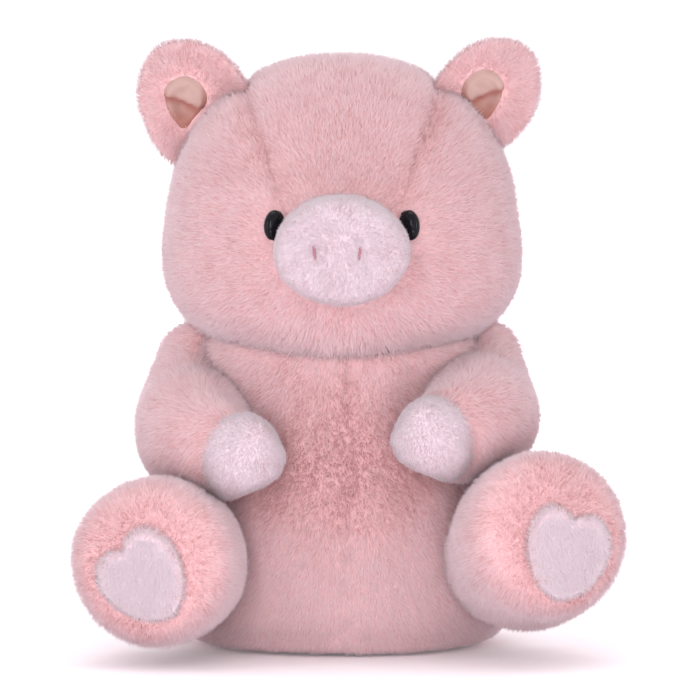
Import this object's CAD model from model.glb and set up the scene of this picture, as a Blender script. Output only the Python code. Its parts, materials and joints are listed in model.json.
import json
import math
import bmesh
import bpy
import numpy as np
from mathutils import Matrix, Vector, noise
from mathutils.bvhtree import BVHTree
from mathutils.kdtree import KDTree


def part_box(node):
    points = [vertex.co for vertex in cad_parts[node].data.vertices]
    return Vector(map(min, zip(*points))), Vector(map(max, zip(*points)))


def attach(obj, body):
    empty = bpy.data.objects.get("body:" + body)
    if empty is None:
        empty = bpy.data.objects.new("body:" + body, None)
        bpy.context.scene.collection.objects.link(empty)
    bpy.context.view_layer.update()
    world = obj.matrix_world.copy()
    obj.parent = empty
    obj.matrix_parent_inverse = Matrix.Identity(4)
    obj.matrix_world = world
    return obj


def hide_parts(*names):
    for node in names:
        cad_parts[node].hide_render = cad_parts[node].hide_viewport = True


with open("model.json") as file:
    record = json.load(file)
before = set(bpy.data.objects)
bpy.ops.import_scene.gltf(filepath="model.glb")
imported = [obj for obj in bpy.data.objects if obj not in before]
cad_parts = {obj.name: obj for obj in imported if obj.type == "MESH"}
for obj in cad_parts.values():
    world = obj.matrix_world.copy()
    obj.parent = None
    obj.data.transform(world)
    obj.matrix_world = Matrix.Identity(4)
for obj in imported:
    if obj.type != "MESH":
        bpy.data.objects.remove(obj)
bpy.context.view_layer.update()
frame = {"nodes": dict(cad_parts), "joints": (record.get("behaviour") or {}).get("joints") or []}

# Lengths are written in millimetres and turned to metres by MM
MM = 0.001
UP = Vector((0, 0, 1))
DOWNWARDS = np.array((0, 0, -1.0))
SIDES = {"right": -1, "left": 1}
FINENESS = 5
TINY = 1e-9

# How deep the cloth lies under the ends of the pile, for each kind of coat
PILE_DEPTH = 1.5 * MM
SHORT_DEPTH = 0.9 * MM
SEAM_WIDTH = 3.4 * MM
SEAM_DEPTH = 2.6 * MM
FINE_SEAM_WIDTH = 2.4 * MM
FINE_SEAM_SHARE = 0.8
FRONT_SEAM_SHIFT = 2.0 * MM

# Lumps of the stuffing: depth and size in millimetres, and seed. A wave is a size and a seed, and each
# seed shifts it by these steps.
SEED_SHIFTS = (7.3, 3.1, 5.7)
HEAD_LUMPS = ((0.8, 30, 5),)
TORSO_LUMPS = ((0.8, 32, 8),)
LIMB_LUMPS = ((0.6, 22, 9),)
SNOUT_LUMPS = ((0.55, 4, 6), (0.4, 14, 7))
EAR_LUMPS = {"depth": 0.8 * MM, "wave": (0.5, 11)}

# Sections from the lowest up: height, half width, front depth and back depth, as shares of the form
HEAD_SHARES = (
    (0, 0, 0, 0),
    (0.015, 0.4, 0.56, 0.44),
    (0.05, 0.62, 0.87, 0.68),
    (0.09, 0.76, 0.95, 0.82),
    (0.15, 0.88, 0.99, 0.92),
    (0.22, 0.955, 1, 0.98),
    (0.33, 0.985, 1, 1),
    (0.47, 0.965, 0.99, 0.99),
    (0.6, 0.925, 0.93, 0.94),
    (0.72, 0.84, 0.83, 0.84),
    (0.83, 0.71, 0.68, 0.7),
    (0.92, 0.52, 0.48, 0.5),
    (0.98, 0.27, 0.25, 0.25),
    (1, 0, 0, 0),
)
TORSO_SHARES = (
    (0, 0, 0, 0),
    (0, 0.5, 0.5, 0.5),
    (0, 0.76, 0.84, 0.8),
    (0.035, 0.87, 0.92, 0.88),
    (0.1, 0.94, 0.965, 0.94),
    (0.2, 0.985, 0.985, 0.98),
    (0.36, 1, 1, 1),
    (0.55, 0.98, 0.96, 0.97),
    (0.7, 0.93, 0.9, 0.92),
    (0.82, 0.84, 0.85, 0.86),
    (0.92, 0.78, 0.82, 0.81),
    (0.98, 0.6, 0.64, 0.62),
    (1, 0, 0, 0),
)
TORSO_HEIGHT = 136 * MM
SQUARE_SHARE = 0.94

# Seams of the head: the forehead panel's half width at shares of the head's height
FOREHEAD_SHARES = ((0.3, 0.2), (0.5, 0.27), (0.79, 0.48), (1.1, 0.64))
HEAD_BACK_SEAM = 12 * MM
BROW_SLOPE_SHARE = 0.9

# Where the head's seams and coat change, each from and to: counted from the back seam, the snout's
# middle, the head's foot, the middle of the torso's depth or an eye
FRONT_SPAN = (-4 * MM, 0)
BROW_SPAN = (0, 12 * MM)
CHIN_SPAN = (-20 * MM, -8 * MM)
CHIN_FOOT_SPAN = (8 * MM, 18 * MM)
UPPER_FACE_SPAN = (5 * MM, 40 * MM)
JAW_SPAN = (8 * MM, 26 * MM)
NAPE_SPAN = (-5 * MM, 35 * MM)
EYE_TRIM_SPAN = (7 * MM, 13 * MM)
SNOUT_TRIM = {"half_width": 27.5 * MM, "half_height": 22 * MM, "span": (1.0, 1.3)}
BROW_BAND = 5 * MM

# The torso's seams and the patches where its coat changes
TORSO_SIDE_SEAM = 6 * MM
BASE_SEAM_HEIGHT = 7 * MM
BASE_SEAM_SHARE = 0.6
MIDDLE_SEAM_SPAN = (2 * MM, 8 * MM)
FLOOR_GAP = 1.3 * MM
NECK_SPAN = (100 * MM, 112 * MM)
LAP_SPAN = (20 * MM, 60 * MM)
UNDERSIDE_SPAN = (-0.9, -0.5)
CHEST = {"height": 78 * MM, "half_width": 44 * MM, "half_height": 34 * MM}
CHEST_SIDES = {"out": 29 * MM, "height": 76 * MM, "half_width": 10 * MM, "half_height": 17 * MM}
BELLY_FLOW = (2.5, -0.15)

# How the head's underside is read: its lowest sections, and how many steps they are read in
UNDERSIDE_ROWS = 7
UNDERSIDE_STEPS = 60
OPEN_HEIGHT = 1.0

# Snout: how far out and how far forward its outline runs, from its root to its middle
SNOUT_HEIGHT_SHARE = 0.4
SNOUT_ROOT = 12 * MM
SNOUT_FRONT_SHARE = 0.5
SNOUT_SHARES = ((0, 0), (0.95, 0), (0.99, 0.5), (1, 0.73), (0.97, 0.88), (0.87, 0.95), (0.55, 0.99), (0, 1))
SNOUT_DENT = {"half_width": 3.2 * MM, "half_height": 5 * MM, "depth": 1.7 * MM}
SNOUT_CREASE = {"spread": 19 * MM, "half_width": 1.4 * MM, "half_height": 9 * MM, "depth": 0.5 * MM}
SNOUT_CROWN = {"ahead": 20 * MM, "lift": 8 * MM}
SNOUT_COAT_REACH = 4 * MM
NOSTRIL = {
    "half_length": 3.2 * MM, "radius": 0.5 * MM, "spread": 9.2 * MM, "shift": -1.9 * MM, "lift": 0.0,
    "thin_share": 0.7, "gap_share": 0.525, "bend": 9, "sunk": 2.1 * MM, "fineness": 3,
}

EYE = {"spread": 28 * MM, "height_share": 0.474, "radius": 6.2 * MM, "dome": 4.4 * MM, "sunk": 1.2 * MM}
EYE_RIM = {"foot": -3.0 * MM, "bevel": -2.4 * MM, "foot_share": 0.96}
EYE_NARROWING = 0.56
EYE_TURN = 24
DOME_STEPS = 12
DOME_TURNS = 48

# Ears: a cupped disc with a hollow for the lining
EAR = {"half_width": 24 * MM, "half_depth": 9 * MM, "half_height": 28 * MM, "cup": 9 * MM, "rise": 8 * MM}
EAR_OUTER_SHARES = {"right": 0.96, "left": 0.84}
EAR_OUTER_SPAN = (-0.2, 0.8)
EAR_TAPERS = {"right": -0.17, "left": 0.06}
EAR_TAPER_SPAN = (-0.5, 0.9)
EAR_LEANS = {"right": 42, "left": 36}
EAR_TURN = 12
HOLLOW = {"half_width": 10.5 * MM, "half_height": 12 * MM, "depth": 4 * MM, "narrowing": 0.55}
HOLLOW_NARROWS = (-0.5, 1.0)
HOLLOW_TILT = -8
HOLLOW_POWER = 1.8
HOLLOW_PLACES = {"right": (4.6 * MM, 0.8 * MM), "left": (-1.2 * MM, 3.3 * MM)}
SCOOP_SPAN = (0.25, 1.1)
EAR_TRIM_SPAN = (1.0, 1.4)
EAR_BARE_SPAN = (0.95, 1.02)

# The lining's outline, its folded upper half and its creases
LINING = {
    "spread_share": 1.05, "uneven_share": 0.06, "half_thickness": 0.4 * MM, "fold": 2.6 * MM, "slope": 0.12,
    "wave": 0.6 * MM, "wave_length": 3.2 * MM, "crease": 0.7 * MM, "proud": 0.9 * MM, "sunk": 0.7 * MM,
    "uneven_wave": (0.7, 15), "crease_wave": (6 * MM, 12),
}
FOLD_RISE = (-0.5 * MM, 0.4 * MM)
FOLD_FALL = (3 * MM, 15 * MM)
LINING_EDGE_SPAN = (0.62, 0.97)
FOLD_SHADOW = {"drop": 0.8 * MM, "width": 1.8 * MM, "share": 0.9}
FOOT_SHADOW = {"span": (-0.1, 0.7), "share": 0.95}
HEADWARD_SHADOW = {"span": (0.45, 0.95), "share": 0.8}

# Limbs: radius and outline shares, from the closed root to the end
ARM_RADIUS = 24 * MM
ARM_SHARES = (
    (0, 0), (0.015, 0.48), (0.06, 0.8), (0.16, 0.86), (0.32, 0.96), (0.48, 1.04),
    (0.64, 0.94), (0.8, 0.8), (0.9, 0.71), (0.965, 0.53), (0.995, 0.25), (1, 0),
)
LEG_RADIUS = 34 * MM
LEG_SHARES = (
    (0, 0), (0.03, 0.44), (0.12, 0.7), (0.3, 0.88), (0.48, 0.95), (0.62, 0.98),
    (0.78, 1), (0.9, 0.97), (0.97, 0.86), (1, 0.73), (1.012, 0.4), (1.015, 0),
)
ARM_ROUTES = {
    "right": ((52.5, -8, 124), (59.2, 22, 95.5), (54, 57, 86), (29, 85, 82)),
    "left": ((51.5, -8, 124), (55, 22, 100), (50, 57, 93.5), (26.5, 83, 88.5)),
}
LEG_ROUTES = {
    "right": ((54, 24, 38), (70, 56, 39.5), (74.5, 82, 42.5), (80, 100, 43)),
    "left": ((55, 24, 38), (74.2, 55, 43.7), (80.3, 80, 52.2), (87, 97, 56)),
}
ROUTE_MARKS = 81

# Paws: the seam round the wrist, the seam that closes the tip, and the tip's soft corners
PAW_SEAM_SHARE = 0.82
WRIST_GROOVE = {"width": 3 * MM, "depth": 1.5 * MM}
PAW_SEAM = {"slant": 24, "drop": 9 * MM, "width": 2 * MM, "depth": 2.6 * MM}
PAW_CORNERS = {"count": 4, "share": 0.07, "turn": 18, "ease": 0.08}
PAW_COAT_REACH = -1 * MM
WRIST_SEAM_WIDTH = 2.5
WRIST_SPAN = (-0.3, 0.3)

# Soles: where the coat turns outwards, and the bands round and under the heart pad
SOLE_SPAN = (0.5, 0.85)
SOLE_INNER_SPAN = (0.62, 0.9)
HEART_BAND = {"from": 0.8, "span": (1.05, 1.3)}
HEART_COVER_SPAN = (0.84, 0.92)

# Heart pads: half of the outline from the notch round to the point, three places to each curve
HEART_SHARES = (
    (0, 0.74), (0.18, 0.96), (0.42, 1.02), (0.6, 0.96), (0.95, 0.84),
    (1.1, 0.35), (0.98, 0), (0.88, -0.4), (0.62, -0.88), (0, -1),
)
HEART = {"half_width": 17 * MM, "half_height": 18 * MM, "half_depth": 1.3 * MM, "sunk": 0.6 * MM}
HEART_TILTS = {"right": 40, "left": 18}
HEART_SHIFTS = {"right": -1 * MM, "left": 2.8 * MM}
HEART_DROPS = {"right": 5.5 * MM, "left": 9 * MM}
HEART_STEPS = 16
HEART_POWERS = {"across": 0.9, "up": 0.6}
HEART_MEASURE = {"reach": 9 * MM, "beyond": 2.0}
HEART_EDGE_SPAN = (0.75, 0.95)
HEART_FACE_SPAN = (-0.5, -0.1)

TAIL = {"radius": 4 * MM, "curl": 8 * MM, "pitch": 16 * MM, "turns": 1.1, "root": 9 * MM, "steps": 16}
TAIL_SHARES = (
    (0, 0), (0.04, 0.8), (0.15, 1), (0.3, 0.95), (0.45, 0.88), (0.6, 0.8), (0.75, 0.7), (0.9, 0.52), (1, 0),
)
TAIL_FINENESS = 4

# Coats: strands to a square metre, their width and length, and how far the ends stray
PLUSH = {"density": 2.9e6, "width": 0.34 * MM, "length": 3.8 * MM, "stray": 0.8 * MM}
SHORT_PILE = {"density": 5.0e6, "width": 0.25 * MM, "length": 1.9 * MM, "stray": 0.45 * MM}
TAIL_PILE_LENGTH = 2.2 * MM

# How each strand differs from its neighbours
STRAND = {
    "tone_spread": 0.5, "speckle_scale": 800, "sway": 0.3, "spin": 3.0, "shortest": 0.7, "longest": 1.15,
    "stray_scale": 260, "stray_power": 2.0,
}
NAP = {"swirl": 0.35, "swirl_wave": (9 * MM, 1), "rove": 10, "rove_wave": (7 * MM, 2)}
NAP_TONES = ((0.16, 14 * MM, 3), (0.22, 4 * MM, 4))
OWN_SHADING = 1.3
BAKE_MAP = {"side": 0.03, "tone": 0.94, "across": 0.01, "foot": 0.02, "along": 0.96}

# Each part's coat: lean in degrees, share of its length, tone and speckle, each as its value in the open
# and what every region adds to it. For the length each region takes its share off, one after the other.
OPEN_COAT = {"length": (1, {}), "tone": (0.5, {}), "mottle": (0.5, {})}
HEAD_COAT = {
    "lean": (48, {"above": -14, "jaw": 8}),
    "length": (1, {"seams": -0.3, "trimmed": -0.45, "jaw": 0.8}),
    "tone": (0.5, {"seams": -0.3, "beside": -0.12, "jaw": 0.15}),
}
SNOUT_COAT = {"lean": (50, {}), "tone": (0.6, {}), "mottle": (1.0, {})}
TORSO_COAT = {
    "lean": (50, {"chest": -28, "under": 28, "ruffles": 12}),
    "length": (1, {"seams": -0.3, "under": -0.6, "tufts": 0.3}),
    "tone": (0.62, {"lap": 0.42, "seams": -0.2, "chest": -0.57, "sides": -0.28, "tufts": 0.12}),
    "mottle": (0.5, {"chest": 1.3}),
}
EAR_COAT = {
    "lean": (46, {"inside": -26}),
    "length": (0.85, {"inside": -0.35 / 0.85}),
    "tone": (0.5, {"inside": -0.2}),
    "mottle": (0.5, {"inside": 0.6}),
}
SLEEVE_COAT = {"lean": (46, {}), "length": (1, {"seam": -0.35}), "tone": (0.5, {"seam": -0.15})}
PAW_COAT = {
    "lean": (45, {}),
    "length": (1, {"closing": -0.5}),
    "tone": (0.62, {"closing": -0.7}),
    "mottle": (0.9, {}),
}
LEG_COAT = {
    "lean": (46, {"inner": -22}),
    "length": (1, {"sole": -0.25}),
    "tone": (0.42, {"inner": -0.12, "beside": -0.08}),
    "mottle": (0.5, {"inner": 1.1}),
}
HEART_COAT = {"lean": (50, {}), "length": (1.6, {}), "tone": (1.05, {})}
TAIL_COAT = {"lean": (55, {})}
UNDER_THINNING = 0.5
TUFT_WAVE = (3 * MM, 13)
RUFFLE_WAVE = (4 * MM, 14)
LIMB_FLOW = {"arm": -0.6, "leg_fall": 0.5, "sole_fall": 4 * MM}

# Where the random draws of each part's pile start. The parts of a side start so many steps after it, and
# each further pile of a part one step on.
SEEDS = {"head": 10, "snout": 60, "torso": 100, "right": 200, "left": 300, "tail": 400}
SEED_STEP = 10
PART_STEPS = {"ear": 0, "arm": 1, "leg": 3}

# Colours from root to tip, and the sheen's weight
PILE_COLOURS = {
    "pink": ((0.86, 0.52, 0.53), (0.92, 0.66, 0.69), (0.95, 0.76, 0.8), 0.8),
    "pale": ((0.7, 0.57, 0.62), (0.735, 0.64, 0.69), (0.77, 0.69, 0.74), 0.4),
    "heart": ((0.76, 0.62, 0.67), (0.8, 0.69, 0.745), (0.84, 0.75, 0.805), 0.4),
}
PILE_TONES = (
    (0, (0.7, 0.5, 0.49)), (0.3, (0.88, 0.76, 0.76)), (0.55, (0.97, 0.95, 0.96)), (1, (1, 1, 1)),
)
PILE_SHEEN = (1, 0.84, 0.9, 1)
PINK_CLOTH = ((0.8, 0.45, 0.46), (0.88, 0.58, 0.6))
PALE_CLOTH = ((0.82, 0.65, 0.71), (0.87, 0.73, 0.8))
WHITE = (1, 1, 1)

# Stuffing: how far the cloth may swell between its seams
TUCK_GAP = 0.5 * MM
SWELL_LIMIT = 2.5 * MM
CLOTH_GRID = 5 * MM
CLOTH_FRAMES = 20
CLOTH_PRESSURE = 4
CLOTH_NEIGHBOURS = 6
CLOTH_BLUR = 0.5 * MM

# Softboxes: place, target and size in metres, and power in watts
SOFTBOXES = {
    "top": ((0, 0.1, 1.5), (0, 0, 0.12), (1.1, 0.9), 4.6),
    "front": ((0.1, -1.8, 0.12), (0, 0, 0.1), (1.4, 0.9), 4),
    "right": ((-1.3, -0.7, 0.4), (0, 0, 0.1), (0.12, 0.8), 3),
    "left": ((1.3, -0.7, 0.4), (0, 0, 0.1), (0.12, 0.8), 3),
    "back": ((0, 1.7, 0.5), (0, 0, 0.1), (1.4, 0.9), 7),
    "low": ((0.02, -0.34, 0.03), (0, 0, 0.04), (0.24, 0.04), 0.16),
    "tall": ((-0.35, -1.5, 0.5), (0, 0, 0.15), (0.12, 0.9), 4.5),
}
ROOM_LIGHT = 0.98
FLOOR_REACH = 6
FLOOR_GLOW = {"From Min": 0.2, "From Max": 0.7, "To Min": 0.1, "To Max": 0.4}

# Camera: how far it looks down, how far off it stands, the width it sees and what it aims at
CAMERA_TILT = 6
CAMERA_DISTANCE = 8.0
CAMERA_WIDTH = 0.2856
CAMERA_SENSOR = 36
CAMERA_AIM = {"across": 3.3 * MM, "up": 119 * MM}


# Smooth lines through rows of sizes


class Line:
    """A smooth line through rows of numbers, read at shares of its length."""

    def __init__(self, rows):
        self.rows = np.array(rows, float)
        steps = np.linalg.norm(np.diff(self.rows, axis=0), axis=1)
        self.length = steps.sum()
        self.marks = np.concatenate([[0.0], np.cumsum(steps) / self.length])
        self.slopes = np.gradient(self.rows, self.marks, axis=0)

    def at(self, shares):
        shares = np.clip(np.asarray(shares, float), 0.0, 1.0)
        index = np.searchsorted(self.marks, shares, side="right") - 1
        index = np.clip(index, 0, len(self.rows) - 2)
        span = (self.marks[index + 1] - self.marks[index])[..., None]
        t = (shares - self.marks[index])[..., None] / span
        low, high = self.rows[index], self.rows[index + 1]
        rise, fall = self.slopes[index] * span, self.slopes[index + 1] * span
        turned = 3 * t**2 - 2 * t**3
        return low + (high - low) * turned + rise * (t**3 - 2 * t**2 + t) + fall * (t**3 - t**2)

    def along(self, shares):
        """The line's direction at shares of its length."""
        step = 0.01
        ahead = self.at(np.asarray(shares, float) + step) - self.at(np.asarray(shares, float) - step)
        return ahead / np.linalg.norm(ahead, axis=-1, keepdims=True)


def unit(vectors):
    return vectors / np.maximum(np.linalg.norm(vectors, axis=-1, keepdims=True), TINY)


def near(distance, width):
    """1 on a seam, falling away to 0 beside it."""
    return np.exp(-((distance / width) ** 2))


def in_oval(across, up, size):
    """1 in the middle of an oval patch, falling away to 0 beyond it."""
    return near(np.hypot(across / size["half_width"], up / size["half_height"]), 1.0)


def eased(value, low, high):
    """0 below low, 1 above high, and smooth between them."""
    share = np.clip((value - low) / (high - low), 0.0, 1.0)
    return share * share * (3 - 2 * share)


def joint_place(name):
    return Vector(next(joint for joint in frame["joints"] if joint["name"] == name)["pos_m"])


def span_of(*nodes):
    """The lowest and highest corner of the box round some solids."""
    corners = [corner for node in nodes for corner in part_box(node)]
    low = Vector(min(corner[axis] for corner in corners) for axis in range(3))
    high = Vector(max(corner[axis] for corner in corners) for axis in range(3))
    return low, high


# Meshes and pieces


def piece_from(bm, name):
    """Turns a loose mesh into a smooth piece in the scene."""
    mesh = bpy.data.meshes.new(name)
    bm.to_mesh(mesh)
    bm.free()
    mesh.shade_smooth()
    piece = bpy.data.objects.new(name, mesh)
    bpy.context.scene.collection.objects.link(piece)
    return piece


def places_of(verts):
    return np.array([vert.co for vert in verts])


def skin_points(verts):
    return places_of(verts), np.array([vert.normal for vert in verts])


def ball(fineness=FINENESS):
    bm = bmesh.new()
    bmesh.ops.create_icosphere(bm, subdivisions=fineness, radius=1)
    return bm


def round_places(bm):
    """Each point of a ball as a share from its foot to its top and a turn round it, from the front."""
    places = places_of(bm.verts)
    shares = 1 - np.arccos(np.clip(places[:, 2], -1, 1)) / math.pi
    return shares, np.arctan2(places[:, 0], -places[:, 1])


def put(bm, places):
    for vert, place in zip(bm.verts, places):
        vert.co = place
    bm.normal_update()


def sink(bm, depths):
    """Moves each point inwards along its normal."""
    bm.normal_update()
    places, normals = skin_points(bm.verts)
    put(bm, places - normals * np.broadcast_to(depths, len(places))[:, None])


def wavy(places, size, seed):
    """A smooth random number between about -1 and 1 at each place."""
    shift = Vector([seed * step for step in SEED_SHIFTS])
    return np.array([noise.noise(Vector(place) / size + shift) for place in places])


def lumps(places, waves):
    """Smooth lumps, the sum of a few waves."""
    return sum(depth * MM * wavy(places, size * MM, seed) for depth, size, seed in waves)


def squared(values):
    return np.sign(values) * np.abs(values) ** SQUARE_SHARE


def swollen(shares, foot, height, low, high):
    """A ball drawn out to a form's sections."""
    bm = ball()
    heights, turns = round_places(bm)
    rows = Line(np.array(shares) * np.array((height, high.x, -low.y, high.y))).at(heights)
    depths = np.where(np.cos(turns) > 0, rows[:, 2], rows[:, 3])
    across = rows[:, 1] * squared(np.sin(turns))
    put(bm, np.stack([across, -depths * squared(np.cos(turns)), foot + rows[:, 0]], axis=1))
    return bm


def route_of(side, places):
    """A limb's route, from places given outwards, forwards and upwards."""
    sign = SIDES[side]
    return Line([(sign * out * MM, -forward * MM, up * MM) for out, forward, up in places])


def limb(route, radius, shares, fineness=FINENESS):
    """A ball drawn out along a route, and each point's share along it."""
    bm = ball(fineness)
    heights, turns = round_places(bm)
    profile = Line([(along * route.length, out * radius) for along, out in shares]).at(heights)
    along = profile[:, 0] / route.length
    ahead = route.along(np.clip(along, 0, 1))
    across = unit(np.cross(np.array(UP), ahead))
    over = np.cross(ahead, across)
    middle = route.at(along) + ahead * np.maximum(along - 1, 0)[:, None] * route.length
    reach = np.maximum(profile[:, 1], 0)[:, None]
    put(bm, middle + across * np.sin(turns)[:, None] * reach + over * np.cos(turns)[:, None] * reach)
    bmesh.ops.recalc_face_normals(bm, faces=bm.faces)
    return bm, along


def shares_along(route, places):
    """Each place's nearest share along a route."""
    marks = np.linspace(0, 1, ROUTE_MARKS)
    line = route.at(marks)
    gaps = np.linalg.norm(places[:, None, :] - line[None, :, :], axis=2)
    return marks[gaps.argmin(1)]


# Stuffing


def cloth_copy(piece, held):
    """A coarse even copy of a skin, held where its seams are."""
    copy = bpy.data.objects.new("cloth", piece.data.copy())
    bpy.context.scene.collection.objects.link(copy)
    grid = copy.modifiers.new("grid", "REMESH")
    grid.mode = "VOXEL"
    grid.voxel_size = CLOTH_GRID
    depsgraph = bpy.context.evaluated_depsgraph_get()
    copy.data = bpy.data.meshes.new_from_object(copy.evaluated_get(depsgraph))
    copy.modifiers.clear()
    group = copy.vertex_groups.new(name="seams")
    places = places_of(copy.data.vertices)
    for index, weight in enumerate(held(places)):
        group.add([index], float(np.clip(weight, 0, 1)), "REPLACE")
    return copy, places


def plump(piece, held):
    """Swells a skin between its seams, by a short run of cloth under pressure."""
    copy, places = cloth_copy(piece, held)
    cloth = copy.modifiers.new("cloth", "CLOTH")
    cloth.settings.use_pressure = True
    cloth.settings.uniform_pressure_force = CLOTH_PRESSURE
    cloth.settings.vertex_group_mass = "seams"
    cloth.settings.effector_weights.gravity = 0
    cloth.point_cache.frame_end = CLOTH_FRAMES
    for step in range(1, CLOTH_FRAMES + 1):
        bpy.context.scene.frame_set(step)
    swollen_copy = copy.evaluated_get(bpy.context.evaluated_depsgraph_get())
    moves = places_of(swollen_copy.data.vertices) - places
    reach = np.linalg.norm(moves, axis=1, keepdims=True)
    moves *= np.minimum(1, SWELL_LIMIT / np.maximum(reach, TINY))
    tree = KDTree(len(places))
    for index, place in enumerate(places):
        tree.insert(place, index)
    tree.balance()
    for vert in piece.data.vertices:
        found = tree.find_n(vert.co, CLOTH_NEIGHBOURS)
        weights = np.array([1 / (gap + CLOTH_BLUR) ** 2 for place, index, gap in found])
        move = weights @ moves[[index for place, index, gap in found]] / weights.sum()
        vert.co += Vector(move)
    bpy.data.objects.remove(copy)
    bpy.context.scene.frame_set(1)


# Node trees


def wire(tree, made, inputs):
    """Gives a node's sockets a value or a link."""
    for name, value in inputs.items():
        if isinstance(value, bpy.types.NodeSocket):
            tree.links.new(value, made.inputs[name])
        else:
            made.inputs[name].default_value = value


def plug(tree, kind, inputs=None, **settings):
    """Adds a node and sets it up."""
    made = tree.nodes.new(kind)
    for name, value in settings.items():
        setattr(made, name, value)
    wire(tree, made, inputs or {})
    return made


def math_node(tree, operation, *values):
    return plug(tree, "ShaderNodeMath", dict(enumerate(values)), operation=operation).outputs[0]


def finish_named(name):
    """A new material, its node tree and its surface shader."""
    material = bpy.data.materials.new(name)
    material.use_nodes = True
    return material, material.node_tree, material.node_tree.nodes["Principled BSDF"]


def ramp(tree, factor, stops):
    """Colours spread over a number, from the first stop to the last."""
    made = plug(tree, "ShaderNodeValToRGB", {"Fac": factor})
    elements = made.color_ramp.elements
    while len(elements) < len(stops):
        elements.new(0.5)
    for element, (place, colour) in zip(elements, stops):
        element.position = place
        element.color = (*colour, 1)
    return made.outputs["Color"]


def tinted(tree, first, second):
    """One colour multiplied by another."""
    made = plug(tree, "ShaderNodeMix", {0: 1.0, 6: first, 7: second}, data_type="RGBA", blend_type="MULTIPLY")
    return made.outputs[2]


def number(tree, name):
    return plug(tree, "ShaderNodeAttribute", attribute_name=name).outputs["Fac"]


def place_socket(tree, stretch=(1, 1, 1), turn=(0, 0, 0)):
    """A piece's own places, turned and stretched."""
    here = plug(tree, "ShaderNodeTexCoord").outputs["Object"]
    made = plug(tree, "ShaderNodeMapping", {"Vector": here, "Scale": stretch, "Rotation": turn})
    return made.outputs["Vector"]


def grain(tree, scale, detail, stretch=(1, 1, 1)):
    """Noise over a piece, at its own places."""
    inputs = {"Vector": place_socket(tree, stretch), "Scale": scale, "Detail": detail}
    return plug(tree, "ShaderNodeTexNoise", inputs).outputs["Fac"]


def between(tree, factor, low, high):
    """A number from 0 to 1 spread between two values."""
    inputs = {"Value": factor, "To Min": low, "To Max": high}
    return plug(tree, "ShaderNodeMapRange", inputs).outputs["Result"]


def bumped(tree, height, strength, distance):
    inputs = {"Height": height, "Strength": strength, "Distance": distance}
    return plug(tree, "ShaderNodeBump", inputs).outputs["Normal"]


# Finishes


def pile_finish(name, root, middle, tip, sheen):
    """Strands that lighten from root to tip, each with its own tone."""
    material, tree, surface = finish_named(name)
    colour = ramp(tree, number(tree, "along"), ((0, root), (0.5, middle), (1, tip)))
    wire(tree, surface, {
        "Base Color": tinted(tree, colour, ramp(tree, number(tree, "tone"), PILE_TONES)),
        "Roughness": 0.8,
        "Specular IOR Level": 0.25,
        "Sheen Weight": sheen,
        "Sheen Roughness": 0.5,
        "Sheen Tint": PILE_SHEEN,
    })
    return material


def cloth_finish(name, dark, light):
    """The backing cloth and the short undercoat between the strands."""
    material, tree, surface = finish_named(name)
    streaks = grain(tree, 1400, 3, (1, 1, 0.35))
    shade = ramp(tree, grain(tree, 60, 2), ((0.3, (0.88, 0.86, 0.87)), (0.7, WHITE)))
    wire(tree, surface, {
        "Base Color": tinted(tree, ramp(tree, streaks, ((0.3, dark), (0.7, light))), shade),
        "Roughness": 0.95,
        "Sheen Weight": 0.3,
        "Normal": bumped(tree, streaks, 0.5, 0.6 * MM),
    })
    return material


def satin_finish():
    """Smooth woven lining: two fine sets of threads, soft gloss and slight clouding."""
    material, tree, surface = finish_named("ear_satin")
    inputs = {"Vector": place_socket(tree, turn=(0, 0.7, 0)), "Scale": 700, "Distortion": 0.6}
    threads = [
        plug(tree, "ShaderNodeTexWave", inputs, bands_direction=direction).outputs["Fac"]
        for direction in ("X", "Z")
    ]
    weave = math_node(tree, "MAXIMUM", *threads)
    clouds = grain(tree, 90, 4)
    colour = ramp(tree, clouds, ((0.3, (0.5, 0.32, 0.29)), (0.7, (0.58, 0.39, 0.36))))
    woven = tinted(tree, colour, ramp(tree, weave, ((0, (0.9, 0.88, 0.87)), (1, WHITE))))
    folds = ramp(tree, number(tree, "deep"), ((0, WHITE), (1, (0.74, 0.45, 0.4))))
    wire(tree, surface, {
        "Base Color": tinted(tree, woven, folds),
        "Roughness": between(tree, clouds, 0.55, 0.7),
        "Specular IOR Level": 0.25,
        "Sheen Weight": 0.2,
        "Normal": bumped(tree, weave, 0.35, 0.2 * MM),
    })
    return material


def eye_finish():
    """Polished black plastic with the faintest haze of fine scratches."""
    material, tree, surface = finish_named("eye_black")
    haze = grain(tree, 900, 5)
    wire(tree, surface, {
        "Base Color": ramp(tree, haze, ((0.3, (0.003, 0.003, 0.005)), (0.8, (0.009, 0.009, 0.013)))),
        "Roughness": between(tree, haze, 0.03, 0.08),
        "Specular IOR Level": 0.17,
    })
    return material


def thread_finish():
    """Twisted sewing thread: slanted plies and a soft sheen."""
    material, tree, surface = finish_named("rose_thread")
    inputs = {"Vector": place_socket(tree), "Scale": 480, "Distortion": 1.5}
    plies = plug(tree, "ShaderNodeTexWave", inputs, bands_direction="DIAGONAL").outputs["Fac"]
    wire(tree, surface, {
        "Base Color": ramp(tree, plies, ((0, (0.34, 0.11, 0.16)), (1, (0.55, 0.24, 0.31)))),
        "Roughness": 0.6,
        "Normal": bumped(tree, plies, 0.6, 0.2 * MM),
    })
    return material


def moulded_finish():
    """White moulded plastic, for the washers behind the eyes."""
    material, tree, surface = finish_named("washer_plastic")
    speckle = grain(tree, 1500, 3)
    wire(tree, surface, {
        "Base Color": ramp(tree, speckle, ((0.3, (0.62, 0.62, 0.59)), (0.7, (0.74, 0.74, 0.72)))),
        "Roughness": 0.45,
        "Normal": bumped(tree, speckle, 0.1, 0.1 * MM),
    })
    return material


def dress(piece, material):
    piece.data.materials.clear()
    piece.data.materials.append(material)


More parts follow.
